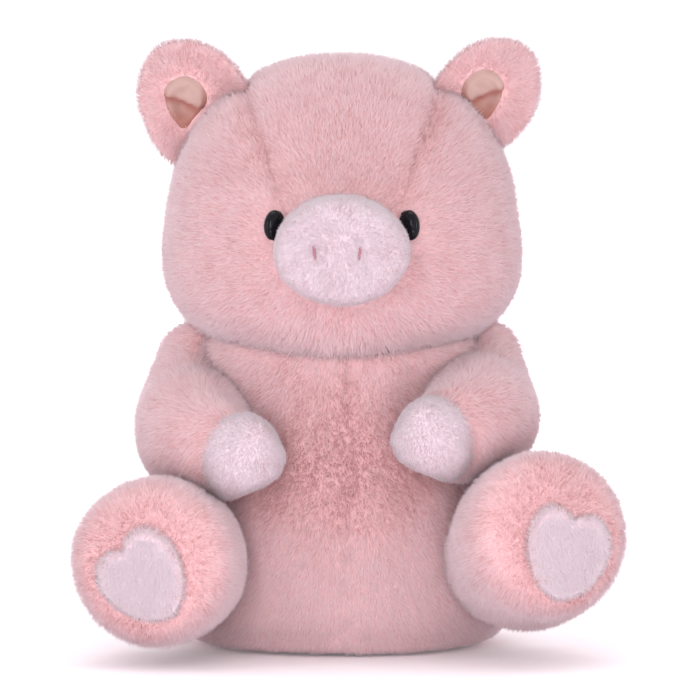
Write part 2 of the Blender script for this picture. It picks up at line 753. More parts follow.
# Pile: one strand, grown by nodes wherever the ground's own numbers say


def make_strand():
    """A slim three-sided spike of unit length."""
    bm = bmesh.new()
    bmesh.ops.create_cone(bm, cap_ends=False, segments=3, radius1=0.5, radius2=0, depth=1)
    bmesh.ops.translate(bm, vec=(0, 0, 0.5), verts=bm.verts)
    along = bm.verts.layers.float.new("along")
    across = bm.verts.layers.float.new("across")
    for vert in bm.verts:
        vert[along] = vert.co.z
        vert[across] = 2 * vert.co.x + vert.co.y
    return piece_from(bm, "strand")


def named(tree, name, data_type="FLOAT"):
    made = plug(tree, "GeometryNodeInputNamedAttribute", {"Name": name}, data_type=data_type)
    return made.outputs["Attribute"]


def stored(tree, geometry, name, value, data_type="FLOAT"):
    """Writes a number or a direction on every point."""
    inputs = {"Geometry": geometry, "Name": name, "Value": value}
    made = plug(tree, "GeometryNodeStoreNamedAttribute", inputs, data_type=data_type, domain="POINT")
    return made.outputs["Geometry"]


def chance(tree, low, high, seed, data_type="FLOAT"):
    """A random number or direction for every point."""
    inputs = {"Min": low, "Max": high, "Seed": seed}
    made = plug(tree, "FunctionNodeRandomValue", inputs, data_type=data_type)
    return made.outputs[1 if data_type == "FLOAT" else 0]


def field(tree, scale):
    return plug(tree, "ShaderNodeTexNoise", {"Scale": scale, "Detail": 1}, noise_dimensions="3D")


def standing(tree, normal, seed):
    """Each strand's turn: along the nap, face outwards, swayed a little and spun freely."""
    nap = named(tree, "nap", "FLOAT_VECTOR")
    stood = plug(tree, "FunctionNodeAlignRotationToVector", {"Vector": nap}, axis="Z")
    inputs = {"Rotation": stood.outputs[0], "Vector": normal}
    faced = plug(tree, "FunctionNodeAlignRotationToVector", inputs, axis="Y", pivot_axis="Z")
    most = (STRAND["sway"], STRAND["sway"], STRAND["spin"])
    sway = chance(tree, [-angle for angle in most], most, seed, "FLOAT_VECTOR")
    turn = plug(tree, "FunctionNodeEulerToRotation", {0: sway})
    inputs = {0: faced.outputs[0], 1: turn.outputs[0]}
    return plug(tree, "FunctionNodeRotateRotation", inputs, rotation_space="LOCAL").outputs[0]


def strayed(tree, geometry, stray):
    """Moves the strands' ends by a field of noise, so that they clump."""
    spread = plug(
        tree, "ShaderNodeVectorMath",
        {0: field(tree, STRAND["stray_scale"]).outputs["Color"], 1: (0.5, 0.5, 0.5)}, operation="SUBTRACT",
    )
    reach = math_node(tree, "POWER", named(tree, "along"), STRAND["stray_power"])
    reach = math_node(tree, "MULTIPLY", reach, 2 * stray)
    offset = plug(tree, "ShaderNodeVectorMath", {0: spread.outputs[0], "Scale": reach}, operation="SCALE")
    moved = plug(tree, "GeometryNodeSetPosition", {"Geometry": geometry, "Offset": offset.outputs[0]})
    return moved.outputs["Geometry"]


def pile_nodes(coat, strand, seed):
    """Scatters strands over a ground, stands each one along the nap and strays its end."""
    tree = bpy.data.node_groups.new("pile", "GeometryNodeTree")
    tree.interface.new_socket("Ground", in_out="INPUT", socket_type="NodeSocketGeometry")
    tree.interface.new_socket("Pile", in_out="OUTPUT", socket_type="NodeSocketGeometry")
    density = math_node(tree, "MULTIPLY", named(tree, "thick"), coat["density"])
    inputs = {"Mesh": plug(tree, "NodeGroupInput").outputs[0], "Density": density, "Seed": seed}
    scatter = plug(tree, "GeometryNodeDistributePointsOnFaces", inputs).outputs
    tone = math_node(
        tree, "MULTIPLY_ADD", chance(tree, -0.5, 0.5, seed + 1), STRAND["tone_spread"], named(tree, "tone")
    )
    speckle = math_node(tree, "SUBTRACT", field(tree, STRAND["speckle_scale"]).outputs["Fac"], 0.5)
    tone = math_node(tree, "MULTIPLY_ADD", speckle, named(tree, "mottle"), tone)
    points = stored(tree, scatter["Points"], "tone", tone)
    points = stored(tree, points, "ground", scatter["Normal"], "FLOAT_VECTOR")
    turned = standing(tree, scatter["Normal"], seed + 2)
    spread = chance(tree, STRAND["shortest"], STRAND["longest"], seed + 3)
    length = math_node(tree, "MULTIPLY", named(tree, "reach"), spread)
    size = plug(tree, "ShaderNodeCombineXYZ", {"X": coat["width"], "Y": coat["width"], "Z": length})
    planted = plug(tree, "GeometryNodeInstanceOnPoints", {
        "Points": points,
        "Instance": plug(tree, "GeometryNodeObjectInfo", {"Object": strand}).outputs["Geometry"],
        "Rotation": turned,
        "Scale": size.outputs[0],
    })
    real = plug(tree, "GeometryNodeRealizeInstances", {"Geometry": planted.outputs["Instances"]})
    plug(tree, "NodeGroupOutput", {0: strayed(tree, real.outputs["Geometry"], coat["stray"])})
    return tree


def mixed(recipe, regions):
    """A value in the open, and what each region adds to it."""
    value, shares = recipe
    for name, share in shares.items():
        value = value + share * regions[name]
    return value


def trimmed(recipe, regions):
    """A share of the length in the open, and what each region takes off or adds."""
    kept, shares = recipe
    for name, share in shares.items():
        kept = kept * (1 + share * regions[name])
    return kept


def lay_nap(ground, flow, coat, length, thick=1.0, **regions):
    """Writes on the ground which way the pile leans, its length, its thickness, tone and speckle."""
    mesh = ground.data
    count = len(mesh.vertices)
    coat = {**OPEN_COAT, **coat}
    places, normals = skin_points(mesh.vertices)
    flat = unit(flow - normals * (flow * normals).sum(1)[:, None])
    side = np.cross(normals, flat)
    flat = unit(flat + side * (NAP["swirl"] * wavy(places, *NAP["swirl_wave"])[:, None]))
    lean = np.broadcast_to(mixed(coat["lean"], regions), count)
    lean = np.radians(lean + NAP["rove"] * wavy(places, *NAP["rove_wave"]))[:, None]
    nap = (normals * np.cos(lean) + flat * np.sin(lean)).astype(np.float32)
    mesh.attributes.new("nap", "FLOAT_VECTOR", "POINT").data.foreach_set("vector", nap.ravel())
    tone = mixed(coat["tone"], regions)
    for share, size, seed in NAP_TONES:
        tone = tone + share * wavy(places, size, seed)
    values = {
        "reach": length * trimmed(coat["length"], regions),
        "thick": thick,
        "tone": tone,
        "mottle": mixed(coat["mottle"], regions),
    }
    for name, value in values.items():
        value = np.broadcast_to(value, count).astype(np.float32)
        mesh.attributes.new(name, "FLOAT", "POINT").data.foreach_set("value", value)


def soften(mesh, count):
    """Turns each strand's shading most of the way to the ground it stands on."""
    own = np.zeros(3 * count, np.float32)
    ground = np.zeros(3 * count, np.float32)
    mesh.vertex_normals.foreach_get("vector", own)
    mesh.attributes["ground"].data.foreach_get("vector", ground)
    mesh.attributes.remove(mesh.attributes["ground"])
    soft = unit(ground.reshape(-1, 3) + OWN_SHADING * own.reshape(-1, 3)).astype(np.float32)
    mesh.attributes.new("custom_normal", "FLOAT_VECTOR", "POINT").data.foreach_set("vector", soft.ravel())


def keep_numbers(mesh):
    """Leaves a strand's along and tone, and lays its bake map by them."""
    for name in ("nap", "reach", "thick", "mottle"):
        if name in mesh.attributes:
            mesh.attributes.remove(mesh.attributes[name])
    count = len(mesh.vertices)
    values = {}
    for name in ("along", "tone", "across"):
        values[name] = np.zeros(count, np.float32)
        mesh.attributes[name].data.foreach_get("value", values[name])
    soften(mesh, count)
    corners = np.zeros(len(mesh.loops), np.int32)
    mesh.loops.foreach_get("vertex_index", corners)
    across = BAKE_MAP["side"] + BAKE_MAP["tone"] * values["tone"] + BAKE_MAP["across"] * values["across"]
    across = np.clip(across, 0, 1)
    up = BAKE_MAP["foot"] + BAKE_MAP["along"] * values["along"]
    layer = mesh.uv_layers.new(name="OFBake")
    layer.data.foreach_set("uv", np.stack([across[corners], up[corners]], axis=1).ravel())
    mesh.attributes.remove(mesh.attributes["across"])


def grow(name, ground, coat, material, strand, seed):
    """Grows a coat on a ground and returns it as a piece of real strands."""
    ground.modifiers.new("pile", "NODES").node_group = pile_nodes(coat, strand, seed)
    depsgraph = bpy.context.evaluated_depsgraph_get()
    grown = ground.evaluated_get(depsgraph)
    mesh = bpy.data.meshes.new_from_object(grown, preserve_all_data_layers=True, depsgraph=depsgraph)
    mesh.name = name
    ground.modifiers.clear()
    keep_numbers(mesh)
    piece = bpy.data.objects.new(name, mesh)
    bpy.context.scene.collection.objects.link(piece)
    dress(piece, material)
    return piece


def ground_from(piece, chosen):
    """A copy of a skin to grow pile on, with the faces whose middles are chosen."""
    bm = bmesh.new()
    bm.from_mesh(piece.data)
    left_out = [face for face in bm.faces if not chosen(face.calc_center_median())]
    bmesh.ops.delete(bm, geom=left_out, context="FACES")
    return piece_from(bm, f"{piece.name}_ground")


# Pieces on their bodies


def everywhere(place):
    return True


def skin(piece, material, body, nodes):
    """A stuffed cover on its body, in place of the solids that it stands for."""
    dress(piece, material)
    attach(piece, body)
    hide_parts(*nodes)


def coat(piece, name, wool, slot, body, seed, comb, chosen=everywhere):
    """The pile on the chosen part of a skin: wool holds its kind, its finish and its strand."""
    kind, material, strand = wool
    ground = ground_from(piece, chosen)
    comb(ground)
    made = grow(name, ground, kind, material, strand, seed)
    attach(made, body)
    bpy.data.objects.remove(ground)


# Head


HEAD_NODES = ("head_forehead_panel", "head_right_side_panel", "head_left_side_panel", "head_back_panel")
head_low, head_high = span_of(*HEAD_NODES)
head_foot = joint_place("head_nod").z
head_height = head_high.z - head_foot
snout_middle_height = head_foot + head_height * SNOUT_HEIGHT_SHARE


def forehead_edge(heights):
    """Half the forehead panel's width at each height."""
    shares, widths = np.array(FOREHEAD_SHARES).T
    return np.interp(heights, shares * head_height + head_foot, widths * head_high.x)


def head_seams(places):
    """How near each place is to a seam of the head."""
    x, y, z = places.T
    over_snout = z - snout_middle_height
    front = 1 - eased(y - HEAD_BACK_SEAM, *FRONT_SPAN)
    below = (1 - eased(over_snout, *CHIN_SPAN)) * eased(z - head_foot, *CHIN_FOOT_SPAN)
    brow = near((np.abs(x) - forehead_edge(z)) * BROW_SLOPE_SHARE, SEAM_WIDTH) * front
    chin = FINE_SEAM_SHARE * near(x, FINE_SEAM_WIDTH) * front * below
    back = near(y - HEAD_BACK_SEAM, SEAM_WIDTH)
    return np.maximum.reduce([brow * eased(over_snout, *BROW_SPAN), chin, back])


head_form = swollen(HEAD_SHARES, head_foot, head_height, head_low, head_high)
head_tree = BVHTree.FromBMesh(head_form)


def face_at(x, z):
    """The head's outer surface seen from the front: its place and the way out."""
    return head_tree.ray_cast(Vector((x, -1, z)), Vector((0, 1, 0)))[:2]


snout_seat = face_at(0, snout_middle_height)[0]


def make_head():
    places = places_of(head_form.verts)
    sink(head_form, PILE_DEPTH + SEAM_DEPTH * head_seams(places) + lumps(places, HEAD_LUMPS))
    return piece_from(head_form, "head_cover")


def head_flow(places):
    """The pile runs away from the snout over the face, and down at the back."""
    outwards = unit(places - np.array(snout_seat))
    behind = eased(places[:, 1], *NAPE_SPAN)[:, None]
    return unit(outwards * (1 - behind) + DOWNWARDS * behind)


def comb_head(ground):
    """Short round the eyes and the snout, dark along the seams and long on the jaw."""
    places = places_of(ground.data.vertices)
    x, y, z = places.T
    above = eased(z - snout_middle_height, *UPPER_FACE_SPAN)
    eyes = np.min([np.linalg.norm(places - np.array(place), axis=1) for place in eye_places], axis=0)
    round_snout = np.hypot(x / SNOUT_TRIM["half_width"], (z - snout_seat.z) / SNOUT_TRIM["half_height"])
    beside_snout = (1 - eased(round_snout, *SNOUT_TRIM["span"])) * (y < 0)
    lay_nap(
        ground,
        head_flow(places),
        HEAD_COAT,
        PLUSH["length"],
        above=above,
        seams=head_seams(places),
        trimmed=np.maximum(1 - eased(eyes, *EYE_TRIM_SPAN), beside_snout),
        jaw=1 - eased(z - head_foot, *JAW_SPAN),
        beside=near(np.abs(x) - forehead_edge(z) - BROW_BAND, BROW_BAND) * above * (y < HEAD_BACK_SEAM),
    )


def head_part(place):
    """The name of the head's pile at a place."""
    side = "right" if place.x < 0 else "left"
    if place.y >= HEAD_BACK_SEAM:
        return f"back_{side}_head_pile"
    if abs(place.x) < forehead_edge(place.z) and place.z > snout_middle_height:
        return "forehead_pile"
    return f"{side}_cheek_pile"


# Snout and face


def snout_dents(places, front):
    """How deep the nostrils and the creases beside them lie."""
    dents = np.zeros(len(places))
    height = places[:, 2] - snout_seat.z
    for sign in SIDES.values():
        middle = sign * NOSTRIL["spread"] + NOSTRIL["shift"]
        dent = in_oval(places[:, 0] - middle, height - NOSTRIL["lift"], SNOUT_DENT)
        dents += SNOUT_DENT["depth"] * dent * front
        crease = in_oval(places[:, 0] - sign * SNOUT_CREASE["spread"], height, SNOUT_CREASE)
        dents += SNOUT_CREASE["depth"] * crease * front
    return dents


def make_snout():
    """A stuffed boss, turned from its outline and pressed in at the nostrils."""
    low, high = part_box("snout_cover")
    half_width = high.x
    half_height = (high.z - low.z) / 2
    length = snout_seat.y - low.y + SNOUT_ROOT
    bm = ball()
    directions = places_of(bm.verts)
    shares = np.arccos(np.clip(directions[:, 1], -1, 1)) / math.pi
    rows = Line([(out * half_width, along * length) for out, along in SNOUT_SHARES]).at(shares)
    turns = np.arctan2(directions[:, 0], directions[:, 2])
    out = rows[:, 0] / half_width
    forward = snout_seat.y + SNOUT_ROOT - rows[:, 1]
    up = snout_seat.z + out * half_height * np.cos(turns)
    put(bm, np.stack([out * half_width * np.sin(turns), forward, up], axis=1))
    bmesh.ops.recalc_face_normals(bm, faces=bm.faces)
    places = places_of(bm.verts)
    front = places[:, 1] < snout_seat.y - SNOUT_FRONT_SHARE * (length - SNOUT_ROOT)
    sink(bm, SHORT_DEPTH + snout_dents(places, front) + lumps(places, SNOUT_LUMPS))
    return piece_from(bm, "snout_skin")


def comb_snout(ground):
    """Outwards from a crown ahead of the snout."""
    crown = (0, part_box("snout_cover")[0].y - SNOUT_CROWN["ahead"], snout_seat.z + SNOUT_CROWN["lift"])
    lay_nap(ground, places_of(ground.data.vertices) - np.array(crown), SNOUT_COAT, SHORT_PILE["length"])


def make_nostril(side):
    """A few strokes of thread pulled tight into the snout."""
    radius = NOSTRIL["radius"]
    middle = SIDES[side] * NOSTRIL["spread"] + NOSTRIL["shift"]
    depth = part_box("snout_cover")[0].y + NOSTRIL["sunk"]
    bend = Matrix.Rotation(math.radians(SIDES[side] * NOSTRIL["bend"]), 4, "Y")
    shape = Matrix.Diagonal((radius * NOSTRIL["thin_share"], radius, NOSTRIL["half_length"], 1))
    bm = bmesh.new()
    for row in (-1, 1):
        made = bmesh.ops.create_icosphere(bm, subdivisions=NOSTRIL["fineness"], radius=1)["verts"]
        across = middle + row * radius * NOSTRIL["gap_share"]
        place = Matrix.Translation((across, depth, snout_seat.z + NOSTRIL["lift"]))
        bmesh.ops.transform(bm, matrix=place @ bend @ shape, verts=made)
    return piece_from(bm, f"{side}_nostril_thread")


def standing_on(out):
    """A turn that stands an upright piece out along a direction."""
    across = UP.cross(out).normalized()
    return Matrix((across, out.cross(across), out)).transposed().to_4x4()


def eye_stand(side):
    place, normal = face_at(SIDES[side] * EYE["spread"], head_foot + head_height * EYE["height_share"])
    outward = Matrix.Rotation(math.radians(SIDES[side] * EYE_TURN), 3, "Z") @ normal
    return Matrix.Translation(place - normal * EYE["sunk"]) @ standing_on(outward)


eye_stands = {side: eye_stand(side) for side in SIDES}
eye_places = [stand.translation.copy() for stand in eye_stands.values()]


def make_eye(side):
    """A domed button on a short rim, turned from its outline."""
    bm = bmesh.new()
    radius, foot = EYE["radius"], EYE_RIM["foot"]
    rows = [(0, foot), (radius * EYE_RIM["foot_share"], foot), (radius, EYE_RIM["bevel"]), (radius, 0)]
    for step in range(1, DOME_STEPS + 1):
        angle = math.pi / 2 * step / DOME_STEPS
        rows.append((radius * math.cos(angle), EYE["dome"] * math.sin(angle)))
    verts = [bm.verts.new((out, 0, up)) for out, up in rows]
    edges = [bm.edges.new(pair) for pair in zip(verts, verts[1:])]
    bmesh.ops.spin(
        bm, geom=verts + edges, cent=(0, 0, 0), axis=UP, angle=2 * math.pi, steps=DOME_TURNS, use_merge=True
    )
    bmesh.ops.remove_doubles(bm, verts=bm.verts, dist=MM * MM)
    bmesh.ops.recalc_face_normals(bm, faces=bm.faces)
    bmesh.ops.scale(bm, vec=(EYE_NARROWING, 1, 1), verts=bm.verts)
    bmesh.ops.transform(bm, matrix=eye_stands[side], verts=bm.verts)
    return piece_from(bm, f"{side}_eye_dome")


# Torso


TORSO_NODES = (
    "torso_front_right_panel", "torso_front_left_panel", "torso_back_right_panel", "torso_back_left_panel",
    "torso_base_panel",
)
torso_low, torso_high = span_of(*TORSO_NODES)


def torso_seams(places):
    """How near each place is to a seam of the torso."""
    x, y, z = places.T
    middle = FINE_SEAM_SHARE * near(x - np.where(y < 0, FRONT_SEAM_SHIFT, 0), FINE_SEAM_WIDTH)
    sides = near(y - TORSO_SIDE_SEAM, SEAM_WIDTH)
    base = BASE_SEAM_SHARE * near(z - BASE_SEAM_HEIGHT, SEAM_WIDTH)
    return np.maximum.reduce([middle * eased(z, *MIDDLE_SEAM_SPAN), sides, base])


def torso_held(places):
    """The torso's cloth is held at its seams and under the neck."""
    return np.maximum(torso_seams(places), eased(places[:, 2], *NECK_SPAN))


def head_underside(places):
    """How high the head's underside is over each place."""
    shares = np.array(HEAD_SHARES)[:UNDERSIDE_ROWS]
    heights = np.linspace(0, shares[-1, 0], UNDERSIDE_STEPS)
    widths = np.interp(heights, shares[:, 0], shares[:, 1]) * head_high.x
    fronts = np.interp(heights, shares[:, 0], shares[:, 2]) * -head_low.y
    backs = np.interp(heights, shares[:, 0], shares[:, 3]) * head_high.y
    x, y = np.abs(places[:, :1]), places[:, 1:2]
    depths = np.where(y < 0, fronts, backs)
    inside = (x / np.maximum(widths, MM)) ** 2 + (y / np.maximum(depths, MM)) ** 2 <= 1
    lowest = head_foot + head_height * heights[inside.argmax(1)]
    return np.where(inside.any(1), lowest, OPEN_HEIGHT)


def tuck_under_head(bm):
    """Presses what lies under the head down to just below it."""
    places = places_of(bm.verts)
    places[:, 2] = np.minimum(places[:, 2], head_underside(places) - TUCK_GAP)
    put(bm, places)


def make_torso():
    bm = swollen(TORSO_SHARES, 0, TORSO_HEIGHT, torso_low, torso_high)
    places = places_of(bm.verts)
    sink(bm, PILE_DEPTH + SEAM_DEPTH * torso_seams(places) + lumps(places, TORSO_LUMPS))
    tuck_under_head(bm)
    return piece_from(bm, "torso_cover")


def set_down(torso):
    """Flattens the torso's skin where it stands on the floor."""
    for vert in torso.data.vertices:
        vert.co.z = max(vert.co.z, FLOOR_GAP)


def comb_torso(ground):
    """Sideways over the belly, ruffled and dark on the chest, and pressed flat underneath."""
    places, normals = skin_points(ground.data.vertices)
    x, y, z = places.T
    flow = np.stack([x * BELLY_FLOW[0], y * 0, np.full(len(places), BELLY_FLOW[1])], axis=1)
    under = 1 - eased(normals[:, 2], *UNDERSIDE_SPAN)
    front = y < 0
    chest = front * in_oval(x, z - CHEST["height"], CHEST)
    lay_nap(
        ground,
        flow,
        TORSO_COAT,
        PLUSH["length"],
        1 - UNDER_THINNING * under,
        seams=torso_seams(places),
        under=under,
        lap=1 - eased(z, *LAP_SPAN),
        chest=chest,
        sides=front * in_oval(np.abs(x) - CHEST_SIDES["out"], z - CHEST_SIDES["height"], CHEST_SIDES),
        tufts=chest * wavy(places, *TUFT_WAVE),
        ruffles=chest * wavy(places, *RUFFLE_WAVE),
    )


def torso_part(place):
    """The name of the torso's pile at a place."""
    front = "belly" if place.y < TORSO_SIDE_SEAM else "back"
    side = "right" if place.x < 0 else "left"
    return f"{front}_{side}_pile"


# Ears


def ear_stand(side):
    sign = SIDES[side]
    lean = Matrix.Rotation(math.radians(sign * EAR_LEANS[side]), 4, "Y")
    turn = Matrix.Rotation(math.radians(sign * EAR_TURN), 4, "Z")
    return Matrix.Translation(joint_place(f"{side}_ear_fold")) @ lean @ turn


def hollow_frame(side):
    """The hollow's middle and its across and up directions, in the ear's own x and z."""
    turn = ear_stand(side).to_3x3().transposed()
    sign = SIDES[side]
    out, over = HOLLOW_PLACES[side]
    middle = turn @ Vector((sign * out, 0, over))
    tilt = math.radians(HOLLOW_TILT)
    up = turn @ Vector((sign * math.sin(tilt), 0, math.cos(tilt)))
    up = np.array((up.x, up.z)) / math.hypot(up.x, up.z)
    inward = turn @ Vector((-sign, 0, 0))
    across = np.array((up[1], -up[0]))
    across *= math.copysign(1, across @ np.array((inward.x, inward.z)))
    return np.array((middle.x, middle.z + EAR["rise"])), across, up


def hollow_width(height):
    """The hollow's half width at a height, which narrows towards its foot."""
    return HOLLOW["half_width"] * (1 - HOLLOW["narrowing"] * eased(-height, *HOLLOW_NARROWS))


def hollow_share(side, x, z):
    """0 in the middle of the ear's hollow, 1 on its rim and more outside."""
    middle, across, up = hollow_frame(side)
    apart = np.stack([x, z], axis=-1) - middle
    height = apart @ up / HOLLOW["half_height"]
    width = apart @ across / hollow_width(height)
    return (np.abs(width) ** HOLLOW_POWER + np.abs(height) ** HOLLOW_POWER) ** (1 / HOLLOW_POWER)


def scooped(side, x, z):
    return HOLLOW["depth"] * (1 - eased(hollow_share(side, x, z), *SCOOP_SPAN))


def ear_places(directions, side):
    """Places on the ear for the points of a ball, in the ear's own frame."""
    outer = eased(directions[:, 0] * SIDES[side], *EAR_OUTER_SPAN)
    taper = EAR_TAPERS[side] * eased(-directions[:, 2], *EAR_TAPER_SPAN)
    x = directions[:, 0] * EAR["half_width"] * (1 - (1 - EAR_OUTER_SHARES[side] + taper) * outer)
    y = directions[:, 1] * EAR["half_depth"] - EAR["cup"] * (x / EAR["half_width"]) ** 2
    z = directions[:, 2] * EAR["half_height"] + EAR["rise"]
    return np.stack([x, y, z], axis=1)


def make_ear(side):
    bm = ball()
    directions = places_of(bm.verts)
    put(bm, ear_places(directions, side))
    sink(bm, PILE_DEPTH + EAR_LUMPS["depth"] * wavy(directions, *EAR_LUMPS["wave"]))
    places = places_of(bm.verts)
    places[:, 1] += scooped(side, places[:, 0], places[:, 2]) * (directions[:, 1] < 0)
    put(bm, places)
    bmesh.ops.transform(bm, matrix=ear_stand(side), verts=bm.verts)
    return piece_from(bm, f"{side}_ear_cover")


def comb_ear(ground, side):
    """The pile runs to the ear's rim, and is short beside the hollow."""
    places, normals = skin_points(ground.data.vertices)
    stand = np.array(ear_stand(side))
    back = np.linalg.inv(stand)
    own = places @ back[:3, :3].T + back[:3, 3]
    facing = (normals @ stand[:3, :3])[:, 1] < 0
    rim = hollow_share(side, own[:, 0], own[:, 2])
    middle = hollow_frame(side)[0]
    outwards = np.stack([own[:, 0] - middle[0], 0 * rim, own[:, 2] - middle[1]], axis=1)
    inside = np.where(facing, 1 - eased(rim, *EAR_TRIM_SPAN), 0)
    flow = unit(outwards) @ stand[:3, :3].T
    thick = np.where(facing, eased(rim, *EAR_BARE_SPAN), 1.0)
    lay_nap(ground, flow, EAR_COAT, PLUSH["length"], thick, inside=inside)


def lining_outline(directions, flat):
    """How far across and up the lining each point of a ball lies."""
    reach = np.abs(directions[:, 0]) ** HOLLOW_POWER + np.abs(directions[:, 2]) ** HOLLOW_POWER
    uneven = 1 + LINING["uneven_share"] * wavy(directions * (1, 0, 1), *LINING["uneven_wave"])
    drawn = LINING["spread_share"] * uneven * flat / np.maximum(reach, TINY) ** (1 / HOLLOW_POWER)
    width = directions[:, 0] * drawn * hollow_width(directions[:, 2])
    return width, directions[:, 2] * HOLLOW["half_height"] * drawn


def ear_hollow(side, x, z):
    """How far back the ear's front lies under its hollow."""
    bulge = 1 - (x / EAR["half_width"]) ** 2 - ((z - EAR["rise"]) / EAR["half_height"]) ** 2
    surface = -EAR["half_depth"] * np.sqrt(np.clip(bulge, 0, 1)) - EAR["cup"] * (x / EAR["half_width"]) ** 2
    return surface + PILE_DEPTH + scooped(side, x, z)


def lining_shadow(directions, above):
    """How deep the lining's colour is: under the fold, at the foot and towards the head."""
    shadow = FOLD_SHADOW["share"] * near(above + FOLD_SHADOW["drop"], FOLD_SHADOW["width"])
    shadow = shadow + FOOT_SHADOW["share"] * eased(-directions[:, 2], *FOOT_SHADOW["span"])
    shadow = shadow + HEADWARD_SHADOW["share"] * eased(directions[:, 0], *HEADWARD_SHADOW["span"])
    return np.clip(shadow, 0, 1).astype(np.float32)


def make_lining(side):
    """A thin smooth patch that lies in the hollow, its upper half folded over the lower."""
    bm = ball()
    directions = places_of(bm.verts)
    middle, across, up = hollow_frame(side)
    flat = np.hypot(directions[:, 0], directions[:, 2])
    width, height = lining_outline(directions, flat)
    x = middle[0] + width * across[0] + height * up[0]
    z = middle[1] + width * across[1] + height * up[1]
    above = height + LINING["slope"] * width + LINING["wave"] * np.sin(width / LINING["wave_length"])
    fold = LINING["fold"] * eased(above, *FOLD_RISE) * (1 - eased(above, *FOLD_FALL))
    creases = LINING["crease"] * wavy(np.stack([x, 2 * z, 0 * x], axis=1), *LINING["crease_wave"])
    edge = eased(flat, *LINING_EDGE_SPAN)
    proud = (LINING["proud"] + fold - creases) * (1 - edge) - LINING["sunk"] * edge
    y = ear_hollow(side, x, z) - proud + directions[:, 1] * LINING["half_thickness"]
    put(bm, np.stack([x, y, z], axis=1))
    bmesh.ops.transform(bm, matrix=ear_stand(side), verts=bm.verts)
    piece = piece_from(bm, f"{side}_ear_satin")
    deep = piece.data.attributes.new("deep", "FLOAT", "POINT")
    deep.data.foreach_set("value", lining_shadow(directions, above))
    return piece


# Limbs


def make_limb(name, route, radius, shares, depth):
    """A stuffed tube along a route, sunk by the depth of its coat at each share along it."""
    bm, along = limb(route, radius, shares)
    sink(bm, depth(along) + lumps(places_of(bm.verts), LIMB_LUMPS))
    tuck_under_head(bm)
    return piece_from(bm, name)


def cut_from(piece, name, place, ahead, keep_far):
    """The part of a skin on one side of a plane, closed where it was cut."""
    bm = bmesh.new()
    bm.from_mesh(piece.data)
    geometry = bm.verts[:] + bm.edges[:] + bm.faces[:]
    cut = bmesh.ops.bisect_plane(
        bm, geom=geometry, plane_co=place, plane_no=ahead, clear_inner=keep_far, clear_outer=not keep_far
    )
    rim = [item for item in cut["geom_cut"] if isinstance(item, bmesh.types.BMEdge)]
    bmesh.ops.edgeloop_fill(bm, edges=rim)
    bmesh.ops.recalc_face_normals(bm, faces=bm.faces)
    return piece_from(bm, name)


def paw_seam(places, route, side):
    """How near each place is to the seam that closes the paw, low round its tip."""
    slant = math.radians(PAW_SEAM["slant"])
    upright = np.array((SIDES[side] * math.sin(slant), 0, math.cos(slant)))
    return near((places - route.at(1.0)) @ upright + PAW_SEAM["drop"], PAW_SEAM["width"])


def fold_paw(arm, route, side):
    """Draws the paw out to soft corners and presses its closing seam in."""
    bm = bmesh.new()
    bm.from_mesh(arm.data)
    places = places_of(bm.verts)
    tip = eased(shares_along(route, places), PAW_SEAM_SHARE, PAW_SEAM_SHARE + PAW_CORNERS["ease"])
    end = route.at(1.0)
    apart = places - end
    turns = np.arctan2(apart[:, 2], -SIDES[side] * apart[:, 0]) - math.radians(PAW_CORNERS["turn"])
    corners = 1 + PAW_CORNERS["share"] * np.cos(PAW_CORNERS["count"] * turns) * tip
    places[:, 0] = end[0] + apart[:, 0] * corners
    places[:, 2] = end[2] + apart[:, 2] * corners
    put(bm, places)
    sink(bm, PAW_SEAM["depth"] * paw_seam(places, route, side) * tip)
    bm.to_mesh(arm.data)
    bm.free()


def past_wrist(route, places):
    """How many millimetres each place lies beyond the seam round the wrist."""
    return ((places - route.at(PAW_SEAM_SHARE)) @ route.along(PAW_SEAM_SHARE)) / MM


def arm_flow(route, places):
    """The pile of an arm runs down and back towards the shoulder."""
    return LIMB_FLOW["arm"] * route.along(shares_along(route, places)) + DOWNWARDS


def comb_sleeve(ground, route):
    places = places_of(ground.data.vertices)
    past = past_wrist(route, places)
    thick = 1 - eased(past, *WRIST_SPAN)
    seam = near(past, WRIST_SEAM_WIDTH)
    lay_nap(ground, arm_flow(route, places), SLEEVE_COAT, PLUSH["length"], thick, seam=seam)


def comb_paw(ground, route, side):
    places = places_of(ground.data.vertices)
    thick = eased(past_wrist(route, places), *WRIST_SPAN)
    closing = paw_seam(places, route, side)
    lay_nap(ground, arm_flow(route, places), PAW_COAT, SHORT_PILE["length"], thick, closing=closing)


def comb_leg(ground, route, side):
    """Along the leg, outwards over its sole and in towards the heart pad beside it."""
    places, normals = skin_points(ground.data.vertices)
    ahead = route.along(shares_along(route, places))
    out = route.along(1.0)
    radial = places - route.at(1.0)
    radial -= out * (radial @ out)[:, None]
    sole = eased(normals @ out, *SOLE_SPAN)[:, None]
    outwards = unit(radial + LIMB_FLOW["sole_fall"] * DOWNWARDS)
    flow = unit((LIMB_FLOW["leg_fall"] * DOWNWARDS - ahead) * (1 - sole) + outwards * sole)
    share, inwards = heart_nearness(places, side, route)
    beside = ((1 - eased(share, *HEART_BAND["span"])) * (share > HEART_BAND["from"]))[:, None]
    out_share = np.linalg.norm(radial, axis=1) / LEG_RADIUS
    lay_nap(
        ground,
        flow * (1 - beside) + inwards * beside,
        LEG_COAT,
        PLUSH["length"],
        eased(share, *HEART_COVER_SPAN),
        sole=sole[:, 0],
        inner=sole[:, 0] * (1 - eased(out_share, *SOLE_INNER_SPAN)),
        beside=beside[:, 0],
    )


# Heart pads


